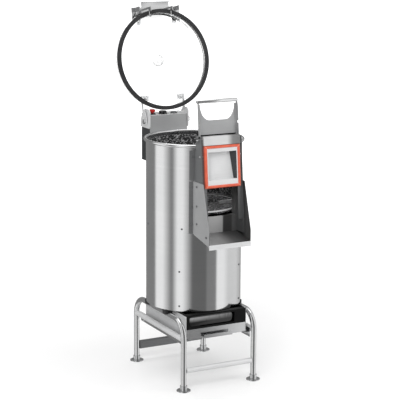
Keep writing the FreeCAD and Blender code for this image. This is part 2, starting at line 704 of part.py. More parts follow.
# lid: clear pan, rubber ring, knob, front bracket, arms and bolts, modelled shut
def lid():
    y, z = -s.hingeY, -s.hingeZ
    top, radius, wall = s.lidTop + z, lidR, s.lidWall
    skirtLow = s.ringLow + 4 + z
    pan = turned([
        (0, top - wall), (radius - 9, top - wall), (radius - 3.2, top - wall - 6), (radius - 3.2, skirtLow),
        (radius, skirtLow), (radius, top - 8), (radius - 7, top), (0, top),
    ])
    move(pan, 0, y, 0)
    boltAt = [(80 * side, y + reach) for side in (-1, 1) for reach in (-154, 152)]
    holes = [rod(4.05, (top - 20, top + 30), "z", *spot) for spot in boltAt]
    onLid(cut(pan, *holes), "lid_pan")
    low, high = s.ringLow + z, s.ringLow + s.ringTall + z
    seal = turned([
        (ringInner, low), (s.ringR, low), (s.ringR, high), (radius + 0.1, high), (radius + 0.1, skirtLow - 0.1),
        (radius - 3.3, skirtLow - 0.1), (radius - 3.3, high), (ringInner, high),
    ])
    move(seal, 0, y, 0)
    slots = [box((x - 2.2, x + 2.2), (y - 215, y - 160), (low - 1, low + 3.5)) for x in (-49, 49)]
    onLid(cut(seal, *slots), "lid_seal")
    knob = fuse(
        rod(s.knobR, (top + 6, top + s.knobTall), "z", 0, y),
        rod(12, (top + 0.05, top + 8), "z", 0, y),
    )
    onLid(knob, "lid_knob")

    over = top + 0.2
    plate = cut(
        fuse(
            box((-108, 108), (y - 219, y - 150), (over, over + 2.5)),
            box((-62, 62), (y - 240, y - 210), (over, over + 2.5)),
            box((-62, 62), (y - 240, y - 238), (over - 9, over + 2.5)),
        ),
        rod(186, (over - 20, over + 5), "z", 0, y),
    )
    parts = [plate]
    for side in (-1, 1):
        x = 80 * side
        parts.append(rod(9, (over, over + 2.5), "z", x, y - 154))
        parts.append(box((x - 9, x + 9), (y - 184, y - 154), (over, over + 2.5)))
        parts.append(box(sidePair(side, 88, 90), (y - 219, y - 200), (low + 4, over + 1)))
        fork = sidePlate([
            (y - 214, over + 1), (y - 206.6, over + 1), (y - 206.6, low + 3.2), (y - 174, low + 3.2),
            (y - 174, low - 18), (y - 178.5, low - 18), (y - 178.5, low + 0.4), (y - 196.5, low + 0.4),
            (y - 196.5, low - 18), (y - 214, low - 18),
        ], (49 * side - 1.5, 49 * side + 1.5))
        parts.append(fork)
    onLid(cut(fuse(*parts), *holes), "lid_bracket")

    bolts = []
    for side, name in ((-1, "left"), (1, "right")):
        x = sidePair(side, s.armHalf - s.armThick, s.armHalf)
        foot = sidePair(side, s.armHalf - 32, s.armHalf)
        arm = cut(
            fuse(
                sidePlate([(-9, -12), (12, -9), (12, 9), (-4, 16), (y + 141, 24), (y + 141, over), (-52, over), (-34, -8)], x),
                box(foot, (y + 141, y + 163), (over, over + 4)),
            ),
            rod(s.axleR + 0.05, (x[0] - 2, x[1] + 2), "x", 0, 0),
            *holes,
        )
        onLid(arm, "lid_arm_" + name)
        for spot, base in ((y - 154, over + 2.5), (y + 152, over + 4)):
            bolts.append(rod(4, (top - wall - 3, base + 3), "z", 80 * side, spot))
    onLid(group(*bolts), "lid_bolts")


# fixed hinge frame, axle, control box and its controls, water inlet and cable gland
def controls():
    box_y = (s.boxFront, s.boxRear)
    cheeks = []
    for side in (-1, 1):
        x = sidePair(side, s.boxHalf + 0.1, s.boxHalf + 4)
        cheek = sidePlate([
            (219, 974), (226, 966), (294, 966), (301, 974), (301, 1006), (266, 1044), (228, 1044), (219, 1034),
        ], x)
        cheeks.append(cheek)
    web = box((-s.boxHalf - 4, s.boxHalf + 4), (s.boxRear + 0.1, s.boxRear + 3), (966, 1000))
    rears = [box(sidePair(side, s.boxHalf + 0.1, s.boxHalf + 4), (300, s.boxRear + 3), (974, 1000)) for side in (-1, 1)]
    frame = cut(fuse(web, *cheeks, *rears), rod(s.axleR + 0.05, (-s.boxHalf - 10, s.boxHalf + 10), "x", s.hingeY, s.hingeZ))
    onAxis(frame, "hinge_frame")
    axle = fuse(
        rod(s.axleR, (-s.armHalf - 8, s.armHalf + 8), "x", s.hingeY, s.hingeZ),
        rod(10, (-s.armHalf - 8, -s.armHalf - 0.5), "x", s.hingeY, s.hingeZ),
        rod(10, (s.armHalf + 0.5, s.armHalf + 8), "x", s.hingeY, s.hingeZ),
    )
    onAxis(axle, "hinge_axle")

    wall = s.sheet
    x = (-s.boxHalf, s.boxHalf)
    case = cut(
        box(x, box_y, (s.boxLow, s.boxTop)),
        box((x[0] + wall, x[1] - wall), (box_y[0] + wall, box_y[1] - wall), (s.boxLow + wall, s.boxTop)),
        rod(s.axleR + 0.1, (x[0] - 1, x[1] + 1), "x", s.hingeY, s.hingeZ),
        rod(8.1, (s.boxRear - 5, s.boxRear + 5), "y", -45, 860),
        rod(13.3, (s.boxRear - 5, s.boxRear + 5), "y", 40, 860),
    )
    panelTop = s.boxTop + 1.5
    openings = []
    for at, radius in ((s.stopX, 7.2), (s.timerX, 4.2), (s.startX, s.startR + 0.2)):
        openings.append(rod(radius, (s.boxTop - 2, panelTop + 2), "z", at, s.controlY))
    onAxis(cut(box(x, box_y, (s.boxTop, panelTop)), *openings), "control_panel")
    stopBase = ringAt(s.stopR + 1, 7.2, (panelTop, panelTop + 6), s.stopX, s.controlY)
    stop = fuse(
        rod(s.stopR, (panelTop + 10, panelTop + 22), "z", s.stopX, s.controlY),
        rod(7, (s.boxTop - 14, panelTop + 10), "z", s.stopX, s.controlY),
    )
    onAxis(stop, "stop_button")
    timer = fuse(
        rod(s.timerR, (panelTop + 0.5, panelTop + 12.5), "z", s.timerX, s.controlY),
        rod(4, (s.boxTop - 16, panelTop + 1), "z", s.timerX, s.controlY),
    )
    mark = box((s.timerX - 1, s.timerX + 1), (s.controlY - s.timerR - 1, s.controlY - 6), (panelTop + 11.5, panelTop + 13))
    onAxis(cut(timer, mark), "timer_knob")
    start = rod(s.startR, (s.boxTop - 12, panelTop + 6), "z", s.startX, s.controlY)
    onAxis(start, "start_button")
    startBase = ringAt(s.startR + 3.5, s.startR + 0.2, (panelTop, panelTop + 3), s.startX, s.controlY)
    onAxis(group(stopBase, startBase), "control_bezels")

    saddles = []
    for level in (850, 900):
        bracket = cut(box((-60, 60), (150, s.boxFront), (level, level + 25)), rod(s.shellR + 0.1, (level - 5, level + 40)))
        inside = box((-54, 54), (150, s.boxFront - 3), (level + 3, level + 22))
        saddles.append(cut(bracket, inside))
    onAxis(fuse(case, *saddles), "control_box")

    inlet = fuse(
        rod(13.2, (s.boxRear - 12, s.boxRear + 22), "y", 40, 860),
        rod(17, (s.boxRear + 0.1, s.boxRear + 6), "y", 40, 860),
    )
    onAxis(inlet, "water_inlet")
    gland = cut(
        fuse(rod(8, (s.boxRear - 10, s.boxRear + 20), "y", -45, 860), rod(12, (s.boxRear + 0.1, s.boxRear + 8), "y", -45, 860)),
        rod(4.5, (s.boxRear - 12, s.boxRear + 24), "y", -45, 860),
    )
    onAxis(gland, "cable_gland")
    nozzle = fuse(
        box((-21.7, 5.7), (184, 214), (928.3, 939.7)),
        box((-14, -2), (205, s.boxFront - 0.3), (929, 939)),
    )
    onAxis(cut(nozzle, box((-19, 3), (183, 212), (931, 937))), "water_nozzle")


def ringAt(outer, inner, ends, x, y):
    return cut(rod(outer, ends, "z", x, y), rod(inner, ends, "z", x, y))


def checkAndWrite():
    doc.recompute()
    for item in doc.Objects:
        if "Invalid" in item.State or "Error" in item.State:
            raise RuntimeError("failed: %s %s %s" % (item.Name, item.Label, item.State))
    os.makedirs("parts", exist_ok=True)
    for item in nodes:
        shape = item.Shape
        if shape.isNull() or not shape.isValid():
            raise RuntimeError("bad shape: " + item.Label)
        limits = shape.BoundBox
        print("%-20s solids %2d volume %10.0f  x %7.1f %7.1f  y %7.1f %7.1f  z %7.1f %7.1f" % (
            item.Label, len(shape.Solids), shape.Volume, limits.XMin, limits.XMax,
            limits.YMin, limits.YMax, limits.ZMin, limits.ZMax))
        shape.exportStep("parts/%s.step" % item.Label)
    print("pieces", len(nodes))


stand()
drawer()
drum()
drive()
outlet()
shellScrews()
door()
lid()
controls()
checkAndWrite()
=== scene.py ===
import json
import math
import bpy
import bmesh
from mathutils import Matrix, Vector


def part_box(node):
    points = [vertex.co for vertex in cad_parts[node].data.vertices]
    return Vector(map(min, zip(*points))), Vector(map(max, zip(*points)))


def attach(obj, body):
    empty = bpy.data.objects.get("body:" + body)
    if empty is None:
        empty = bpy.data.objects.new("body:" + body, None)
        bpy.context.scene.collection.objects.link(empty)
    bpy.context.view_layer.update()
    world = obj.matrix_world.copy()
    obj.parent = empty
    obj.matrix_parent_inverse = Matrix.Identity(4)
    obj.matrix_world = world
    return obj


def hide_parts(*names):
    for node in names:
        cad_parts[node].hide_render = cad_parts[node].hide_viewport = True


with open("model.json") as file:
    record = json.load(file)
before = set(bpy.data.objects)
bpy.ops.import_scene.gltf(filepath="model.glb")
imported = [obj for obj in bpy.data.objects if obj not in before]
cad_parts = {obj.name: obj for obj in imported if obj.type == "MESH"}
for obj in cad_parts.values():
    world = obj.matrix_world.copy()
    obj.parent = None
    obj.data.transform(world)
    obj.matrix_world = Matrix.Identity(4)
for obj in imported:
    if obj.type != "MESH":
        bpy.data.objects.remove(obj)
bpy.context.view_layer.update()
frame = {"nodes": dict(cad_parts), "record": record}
nodeObjects = frame["nodes"]
bodyOfNode = {}
for bodyName, members in frame["record"]["behaviour"]["bodies"].items():
    for member in members:
        bodyOfNode[member] = bodyName
slotOfNode = {}
for entry in frame["record"]["subparts"]:
    slotOfNode[entry["node"]] = entry["material_slot"]


axisY = 0.008  # the drum's axis stands this far behind the origin
doorFrame = {"foot": (0, -0.2425, 0.8), "lean": 5}  # the lift door slides in a frame that leans back
doorPlace = Matrix.Translation(doorFrame["foot"]) @ Matrix.Rotation(math.radians(-doorFrame["lean"]), 4, "X")
lidFrame = {"hinge": (0.0, 0.255, 0.9935), "open": 101.45}  # the lid's pieces are built shut and swung open
lidPlace = Matrix.Translation(lidFrame["hinge"]) @ Matrix.Rotation(math.radians(-lidFrame["open"]), 4, "X")


class Wire:
    # a shader socket that takes part in Python expressions
    def __init__(self, recipe, socket):
        self.recipe = recipe
        self.socket = socket

    def math(self, operation, other=0.0):
        return self.recipe.node("ShaderNodeMath", {"operation": operation}, [self, other])

    def __add__(self, other):
        return self.math("ADD", other)

    def __sub__(self, other):
        return self.math("SUBTRACT", other)

    def __rsub__(self, other):
        return self.recipe.node("ShaderNodeMath", {"operation": "SUBTRACT"}, [other, self])

    def __mul__(self, other):
        return self.math("MULTIPLY", other)

    def __truediv__(self, other):
        return self.math("DIVIDE", other)

    def __gt__(self, other):
        return self.math("GREATER_THAN", other)

    def __lt__(self, other):
        return self.math("LESS_THAN", other)

    def __abs__(self):
        return self.math("ABSOLUTE")

    __radd__ = __add__
    __rmul__ = __mul__


class Recipe:
    # one node tree, with one method that makes any node
    def __init__(self, owner):
        owner.use_nodes = True
        self.tree = owner.node_tree
        self.tree.nodes.clear()

    def node(self, kind, settings=None, inputs=None, output=0):
        made = self.tree.nodes.new(kind)
        for key, value in (settings or {}).items():
            if key == "stops":
                ramp = made.color_ramp
                while len(ramp.elements) < len(value):
                    ramp.elements.new(0.5)
                for element, (place, colour) in zip(ramp.elements, value):
                    element.position = place
                    element.color = tuple(colour) + (1.0,)
            else:
                setattr(made, key, value)
        pairs = inputs.items() if isinstance(inputs, dict) else enumerate(inputs or [])
        for key, value in pairs:
            if isinstance(value, Wire):
                self.tree.links.new(value.socket, made.inputs[key])
            else:
                made.inputs[key].default_value = value
        return Wire(self, made.outputs[output]) if len(made.outputs) else None

    def coords(self):
        return self.node("ShaderNodeTexCoord", output="Object")

    def place(self):
        coords = self.coords()
        parts = self.tree.nodes.new("ShaderNodeSeparateXYZ")
        self.tree.links.new(coords.socket, parts.inputs[0])
        return coords, [Wire(self, parts.outputs[index]) for index in range(3)]

    def stretched(self, coords, scale):
        return self.node("ShaderNodeMapping", None, {"Vector": coords, "Scale": scale})

    def noise(self, vector, scale, detail=3.0):
        return self.node("ShaderNodeTexNoise", None, {"Vector": vector, "Scale": scale, "Detail": detail})

    def ramp(self, factor, stops):
        return self.node("ShaderNodeValToRGB", {"stops": stops}, [factor])

    def bump(self, height, strength, distance):
        return self.node("ShaderNodeBump", None, {"Height": height, "Strength": strength,
                                                  "Distance": distance})

    def surface(self, **sockets):
        named = {key.replace("_", " "): value for key, value in sockets.items()}
        shader = self.node("ShaderNodeBsdfPrincipled", None, named)
        self.node("ShaderNodeOutputMaterial", None, [shader])
        return shader


def newMaterial(name):
    material = bpy.data.materials.new(name)
    return material, Recipe(material)


def colourMix(recipe, factor, first, second):
    made = recipe.tree.nodes.new("ShaderNodeMix")
    made.data_type = "RGBA"
    for index, value in ((0, factor), (6, first), (7, second)):
        if isinstance(value, Wire):
            recipe.tree.links.new(value.socket, made.inputs[index])
        else:
            made.inputs[index].default_value = value if index == 0 else tuple(value) + (1.0,)
    return Wire(recipe, made.outputs[2])


def grey(level, tint=0.0):
    return (level, level + tint * 0.5, level + tint)


# stainless steel: fine brushing along one axis, soft cloudy wear, a little grime
def steelMaterial(name, settings):
    material, recipe = newMaterial(name)
    coords = recipe.coords()
    grain = recipe.noise(recipe.stretched(coords, settings["grain"]), 1.0, 4.0)
    cloud = recipe.noise(coords, settings["cloud"], 3.0)
    base = recipe.ramp(grain * 0.5 + cloud * 0.5, [
        (0.3, grey(settings["dark"], 0.01)), (0.7, grey(settings["light"], 0.006)),
    ])
    rough = settings["rough"] + (grain - 0.5) * settings["vary"] + (cloud - 0.5) * settings["vary"]
    normal = recipe.bump(grain, settings["bump"], 0.0002)
    recipe.surface(Base_Color=base, Metallic=settings.get("metal", 1.0), Roughness=rough, Normal=normal)
    return material


def plasticMaterial(name, settings):
    material, recipe = newMaterial(name)
    coords = recipe.coords()
    cloud = recipe.noise(coords, settings["cloud"], 2.0)
    fine = recipe.noise(coords, settings["fine"], 2.0)
    base = recipe.ramp(cloud, [(0.3, settings["dark"]), (0.7, settings["light"])])
    rough = settings["rough"] + (cloud - 0.5) * settings["vary"]
    normal = recipe.bump(fine, settings["bump"], 0.0003)
    recipe.surface(Base_Color=base, Roughness=rough, Normal=normal, Coat_Weight=settings.get("coat", 0.0),
                   Specular_IOR_Level=settings.get("shine", 0.5))
    return material


# abrasive grit: black grains with scattered pale specks
def gritMaterial():
    material, recipe = newMaterial("grit")
    coords = recipe.coords()
    grains = recipe.node("ShaderNodeTexVoronoi", None, {"Vector": coords, "Scale": 300.0})
    cells = recipe.node("ShaderNodeTexVoronoi", None, {"Vector": coords, "Scale": 235.0}, 1)
    pick = recipe.node("ShaderNodeSeparateColor", None, [cells])
    soft = recipe.noise(coords, 14.0, 2.0)
    pale = recipe.ramp(pick, [(0.58, grey(0.0)), (0.80, grey(0.45)), (1.0, grey(1.0))]) * (soft * 0.7 + 0.3)
    base = colourMix(recipe, pale, (0.018, 0.018, 0.019), (0.66, 0.66, 0.67))
    normal = recipe.bump(grains, 0.9, 0.0012)
    recipe.surface(Base_Color=base, Roughness=0.62, Normal=normal)
    return material


# door seal: orange silicone with pale mitre joints at its corners
def sealMaterial(half, low, high):
    material, recipe = newMaterial("doorSeal")
    coords, (x, y, z) = recipe.place()
    inward = half - abs(x)
    rise = recipe.node("ShaderNodeMath", {"operation": "MINIMUM"}, [z - low, high - z])
    joint = abs(inward - rise) < 0.0011
    cloud = recipe.noise(coords, 60.0, 3.0)
    body = recipe.ramp(cloud, [(0.3, (0.66, 0.105, 0.055)), (0.7, (0.78, 0.145, 0.08))])
    base = colourMix(recipe, joint * 0.75, body, (0.9, 0.42, 0.30))
    normal = recipe.bump(recipe.noise(coords, 900.0, 2.0), 0.15, 0.0002)
    recipe.surface(Base_Color=base, Roughness=0.42, Normal=normal)
    return material


# peel tray's front scoop: black plastic with a painted sheen, a pale painted highlight that fades downwards
def paintedSheenMaterial():
    material, recipe = newMaterial("trayPaintedSheen")
    coords, (x, y, z) = recipe.place()
    sheen = {"low": 0.256, "high": 0.287, "right": 0.075, "left": -0.10}
    rise = recipe.node("ShaderNodeMapRange", None, {
        "Value": z, "From Min": sheen["low"], "From Max": sheen["high"]})
    side = recipe.node("ShaderNodeMapRange", None, {
        "Value": x, "From Min": sheen["right"], "From Max": sheen["left"]})
    ribs = recipe.noise(recipe.stretched(coords, (160.0, 1.0, 20.0)), 1.0, 1.0)
    # the painted highlight: pale near the top of the scoop, dark below it
    tone = recipe.ramp(rise, [(0.0, grey(0.006)), (0.32, grey(0.012)), (0.62, grey(0.20)), (0.9, grey(0.34)),
                              (1.0, grey(0.02))])
    base = colourMix(recipe, side * 0.6 + 0.4 - (ribs > 0.6) * 0.2, (0.008, 0.008, 0.008), tone)
    recipe.surface(Base_Color=base, Roughness=0.3)
    return material


def clearMaterial():
    material, recipe = newMaterial("clearLid")
    coords = recipe.coords()
    haze = recipe.noise(coords, 9.0, 3.0)
    base = recipe.ramp(haze, [(0.3, (0.955, 0.96, 0.96)), (0.7, (0.975, 0.978, 0.98))])
    recipe.surface(Base_Color=base, Roughness=0.03 + haze * 0.03, IOR=1.3, Transmission_Weight=1.0)
    return material


# the same plastic where it is thick: the lid's moulded edge and the knob
def thickClearMaterial():
    material, recipe = newMaterial("thickClear")
    coords = recipe.coords()
    haze = recipe.noise(coords, 30.0, 2.0)
    base = recipe.ramp(haze, [(0.3, (0.82, 0.82, 0.82)), (0.7, (0.88, 0.88, 0.88))])
    recipe.surface(Base_Color=base, Roughness=0.12 + haze * 0.05, IOR=1.15, Transmission_Weight=0.85)
    return material


# sheet steel with painted reflection and painted shade: tones that change along one axis, in place of what it
# reflects and the shade that falls on it
def gradedMaterial(name, axis, stops):
    material, recipe = newMaterial(name)
    coords, along = recipe.place()
    span = 0.4  # the stops lie within this distance of the origin, either way
    reach = recipe.node("ShaderNodeMapRange", None, {"Value": along[axis], "From Min": -span,
                                                     "From Max": span})
    tone = recipe.ramp(reach, [((at + span) / (span * 2), grey(level)) for at, level in stops])
    cloud = recipe.noise(coords, 12.0, 3.0)
    base = colourMix(recipe, cloud * 0.3, tone, (0.1, 0.1, 0.1))
    recipe.surface(Base_Color=base, Metallic=0.4, Roughness=0.38 + cloud * 0.08)
    return material


looks = {
    "polishedDrum": steelMaterial("polishedDrum", {
        "grain": (4.0, 4.0, 900.0), "cloud": 5.0, "dark": 0.70, "light": 0.80, "rough": 0.13, "vary": 0.05,
        "bump": 0.02}),
    "brushedSheet": steelMaterial("brushedSheet", {
        "grain": (30.0, 30.0, 1400.0), "cloud": 9.0, "dark": 0.58, "light": 0.70, "rough": 0.21, "vary": 0.08,
        "bump": 0.04}),
    "tubeSteel": steelMaterial("tubeSteel", {
        "grain": (700.0, 700.0, 40.0), "cloud": 14.0, "dark": 0.70, "light": 0.80, "rough": 0.16,
        "vary": 0.06, "bump": 0.03}),
    "polished": steelMaterial("polished", {
        "grain": (500.0, 500.0, 500.0), "cloud": 30.0, "dark": 0.74, "light": 0.84, "rough": 0.10,
        "vary": 0.05, "bump": 0.02}),
    # near-white matte steel for the disc's paddles and rim: painted light, standing in for how brightly they
    # are lit
    "satinPaintedLight": steelMaterial("satinPaintedLight", {
        "grain": (300.0, 300.0, 300.0), "cloud": 30.0, "dark": 0.90, "light": 0.97, "rough": 0.38,
        "vary": 0.06, "bump": 0.05, "metal": 0.0}),
    # paleSheet, greySheet, dimSheet and shadedSheet are one sheet steel in four copies, pale to dark: lit and
    # shaded copies, that is painted light and painted shade, given per piece and per face below
    "paleSheet": steelMaterial("paleSheet", {
        "grain": (30.0, 30.0, 1400.0), "cloud": 9.0, "dark": 0.74, "light": 0.84, "rough": 0.40, "vary": 0.08,
        "bump": 0.04, "metal": 0.25}),
    "greySheet": steelMaterial("greySheet", {
        "grain": (30.0, 30.0, 1400.0), "cloud": 9.0, "dark": 0.40, "light": 0.49, "rough": 0.42, "vary": 0.08,
        "bump": 0.04, "metal": 0.45}),
    "shadedSheet": steelMaterial("shadedSheet", {
        "grain": (30.0, 30.0, 1400.0), "cloud": 9.0, "dark": 0.045, "light": 0.085, "rough": 0.34,
        "vary": 0.08, "bump": 0.04, "metal": 0.6}),
    "trayPaintedSheen": paintedSheenMaterial(),
    "trayBlack": plasticMaterial("trayBlack", {
        "cloud": 12.0, "fine": 350.0, "dark": (0.004, 0.004, 0.004), "light": (0.008, 0.008, 0.008),
        "rough": 0.45, "vary": 0.05, "bump": 0.03, "shine": 0.12}),
    "dimSheet": steelMaterial("dimSheet", {
        "grain": (30.0, 30.0, 1400.0), "cloud": 9.0, "dark": 0.17, "light": 0.25, "rough": 0.36, "vary": 0.08,
        "bump": 0.04, "metal": 0.7}),
    # painted reflection and painted shade on the outlet wall, the chute's right side, its floor and the
    # door's header
    "outletWall": gradedMaterial("outletWall", 0, [
        (-0.08, 0.70), (0.024, 0.62), (0.027, 0.05), (0.064, 0.07), (0.067, 0.17), (0.09, 0.13)]),
    "chuteRight": gradedMaterial("chuteRight", 1, [
        (-0.302, 0.07), (-0.262, 0.11), (-0.24, 0.05), (-0.225, 0.008), (-0.19, 0.006)]),
    "chuteFloor": gradedMaterial("chuteFloor", 0, [(-0.09, 0.42), (-0.02, 0.34), (0.03, 0.12), (0.09, 0.05)]),
    "headerSheet": gradedMaterial("headerSheet", 0, [
        (-0.08, 0.92), (0.022, 0.88), (0.045, 0.30), (0.08, 0.24)]),
    "thickClear": thickClearMaterial(),
    "castMetal": steelMaterial("castMetal", {
        "grain": (240.0, 240.0, 240.0), "cloud": 20.0, "dark": 0.10, "light": 0.16, "rough": 0.5,
        "vary": 0.12, "bump": 0.3}),
    "castAluminium": steelMaterial("castAluminium", {
        "grain": (300.0, 300.0, 300.0), "cloud": 20.0, "dark": 0.60, "light": 0.70, "rough": 0.38,
        "vary": 0.1, "bump": 0.2}),
    "brass": plasticMaterial("brass", {
        "cloud": 30.0, "fine": 500.0, "dark": (0.50, 0.36, 0.14), "light": (0.62, 0.47, 0.20), "rough": 0.3,
        "vary": 0.1, "bump": 0.05}),
    "blackGloss": plasticMaterial("blackGloss", {
        "cloud": 12.0, "fine": 350.0, "dark": (0.006, 0.006, 0.007), "light": (0.012, 0.012, 0.013),
        "rough": 0.12, "vary": 0.05, "bump": 0.03, "coat": 0.6}),
    "blackRubber": plasticMaterial("blackRubber", {
        "cloud": 25.0, "fine": 800.0, "dark": (0.012, 0.012, 0.013), "light": (0.026, 0.026, 0.028),
        "rough": 0.5, "vary": 0.12, "bump": 0.15}),
    "redPlastic": plasticMaterial("redPlastic", {
        "cloud": 40.0, "fine": 700.0, "dark": (0.50, 0.012, 0.010), "light": (0.60, 0.022, 0.016),
        "rough": 0.28, "vary": 0.06, "bump": 0.04, "coat": 0.2}),
    "greyPlastic": plasticMaterial("greyPlastic", {
        "cloud": 40.0, "fine": 900.0, "dark": (0.22, 0.23, 0.24), "light": (0.30, 0.31, 0.32), "rough": 0.45,
        "vary": 0.06, "bump": 0.06}),
    "ribGrey": plasticMaterial("ribGrey", {
        "cloud": 40.0, "fine": 900.0, "dark": (0.10, 0.10, 0.10), "light": (0.15, 0.15, 0.15), "rough": 0.4,
        "vary": 0.06, "bump": 0.02}),
    "grit": gritMaterial(),
    "clearLid": clearMaterial(),
}
# the door seal's sizes in the door's own frame, which its material needs as well as its shape
seal = {"half": 0.0768, "low": 0.0012, "high": 0.1645, "wide": 0.0112, "front": 0.0062, "bulge": 0.0056,
        "back": 0.0118}
sealFoot = doorFrame["foot"][2]
looks["doorSeal"] = sealMaterial(seal["half"], sealFoot + seal["low"], sealFoot + seal["high"])
lookOfSlot = {
    "steel": "brushedSheet", "tube_steel": "tubeSteel", "polished": "polished", "clear_plastic": "clearLid",
    "black_plastic": "blackGloss", "black_rubber": "blackRubber", "orange_seal": "doorSeal",
    "abrasive": "grit",
    "red_plastic": "redPlastic", "grey_plastic": "greyPlastic", "dark_metal": "castMetal",
    "aluminium": "castAluminium", "brass": "brass",
}
# looks given per piece; the pale, grey, dim and shaded sheet steel among them are painted light and painted
# shade
lookOfNode = {
    "disc_paddles": "satinPaintedLight", "door_pan": "paleSheet", "door_header": "headerSheet",
    "chute_side_left": "greySheet", "chute_side_right": "chuteRight", "outlet_plate": "outletWall",
    "chute_floor": "chuteFloor", "guide_left": "dimSheet", "guide_right": "dimSheet",
    "cross_rail_front": "paleSheet", "cross_rail_rear": "dimSheet", "peel_tray": "trayBlack",
    "screws": "dimSheet",
    "side_rails": "paleSheet", "control_box": "greySheet", "control_panel": "paleSheet",
    "hinge_frame": "paleSheet",
    "lid_arm_left": "paleSheet", "lid_arm_right": "paleSheet",
}
print("materials ready", len(looks))


def newPiece(name, made, look, body):
    mesh = bpy.data.meshes.new(name)
    made.to_mesh(mesh)
    made.free()
    piece = bpy.data.objects.new(name, mesh)
    bpy.context.scene.collection.objects.link(piece)
    mesh.materials.append(looks[look])
    mesh.shade_smooth()
    mesh.set_sharp_from_angle(angle=math.radians(32))
    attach(piece, body)
    return piece


def softenEdges(piece, width, segments=2):
    bevel = piece.modifiers.new("softEdges", "BEVEL")
    bevel.width = width
    bevel.segments = segments
    bevel.limit_method = "ANGLE"
    bevel.angle_limit = math.radians(40)
    bevel.harden_normals = True


# a node's own shape, joined up, with its flat faces whole and its edges softened
def dressed(node, width):
    made = bmesh.new()
    made.from_mesh(nodeObjects[node].data)
    bmesh.ops.remove_doubles(made, verts=made.verts, dist=0.00001)
    bmesh.ops.dissolve_limit(made, angle_limit=math.radians(0.4), verts=made.verts, edges=made.edges)
    slotName = slotOfNode[node]
    look = lookOfNode.get(node, lookOfSlot[slotName])
    piece = newPiece(node + "_dressed", made, look, bodyOfNode[node])
    if width:
        softenEdges(piece, width, edgeSteps.get(node, 2))
    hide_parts(node)
    if node in paintedLightFaces:
        paintLightOnFaces(piece, *paintedLightFaces[node])
    return piece


# the faces of one piece that look a given way get a second material: painted light or painted shade, set by
# which way the faces point
def paintLightOnFaces(piece, look, directions):
    piece.data.materials.append(looks[look])
    for face in piece.data.polygons:
        if any(face.normal.dot(Vector(direction).normalized()) > 0.94 for direction in directions):
            face.material_index = 1


# how the nodes are dressed: bevel widths, bevel steps, painted light and painted shade on faces by the way
# they face, and those built by hand further down
edgeWidths = {
    "feet": 0.0008, "hoop_left": 0, "hoop_right": 0, "drum_pads": 0.0015, "peel_tray": 0.0012,
    "drawer": 0.0005,
    "abrasive_liner": 0, "lid_pan": 0, "lid_seal": 0.001, "abrasive_disc": 0.002, "door_pan": 0.0005,
}
edgeSteps = {"lid_seal": 3}
# faces of each piece that point these ways take a paler or darker copy of the steel: painted light and
# painted shade
paintedLightFaces = {
    "door_pan": ("shadedSheet", [(-1, 0, 0), (1, 0, 0)]),
    "control_box": ("shadedSheet", [(-1, 0, 0)]),
    "drawer": ("paleSheet", [(-1, 0, 0)]),
    "chute_side_right": ("brushedSheet", [(1, 0, 0)]),
    "guide_right": ("brushedSheet", [(1, 0, 0)]),
    "chute_floor": ("paleSheet", [(0, -1, 0)]),
    "chute_side_left": ("dimSheet", [(-1, -2, 0), (-1, -3, 0), (-1, -1.4, 0)]),
}
handMade = {"stop_button", "timer_knob", "lid_knob", "drum_shell", "door_handle_plate", "door_handle_bar",
            "door_gasket"}
for node in nodeObjects:
    if node not in handMade:
        dressed(node, edgeWidths.get(node, 0.0004))
print("nodes dressed", len(nodeObjects) - len(handMade))


# a turned shape: its profile is a run of (radius, height) points round an upright axis
def turnedShape(profile, centre, steps=64):
    made = bmesh.new()
    verts = [made.verts.new((radius, 0.0, height)) for radius, height in profile]
    edges = [made.edges.new(pair) for pair in zip(verts, verts[1:])]
    bmesh.ops.spin(made, geom=verts + edges, cent=(0, 0, 0), axis=(0, 0, 1), angle=math.tau, steps=steps,
                   use_merge=True, use_duplicate=False)
    bmesh.ops.remove_doubles(made, verts=made.verts, dist=0.00001)
    bmesh.ops.translate(made, verts=made.verts, vec=centre)
    bmesh.ops.recalc_face_normals(made, faces=made.faces)
    return made


def middleOf(node):
    low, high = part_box(node)
    return [(a + b) / 2 for a, b in zip(low, high)], low, high


# stop button: a mushroom head on its stem
def buildStopButton():
    middle, low, high = middleOf("stop_button")
    tall = high[2] - low[2]
    radius = (high[0] - low[0]) / 2
    profile = [
        (0, 0), (0.0069, 0), (0.0069, tall - 0.0115), (radius - 0.002, tall - 0.0115),
        (radius - 0.0005, tall - 0.0105), (radius, tall - 0.008), (radius - 0.0004, tall - 0.005),
        (radius - 0.003, tall - 0.0018), (radius - 0.0075, tall - 0.0003), (0, tall),
    ]
    made = turnedShape(profile, (middle[0], middle[1], low[2]))
    piece = newPiece("stopButtonHead", made, "redPlastic", "stop")
    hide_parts("stop_button")


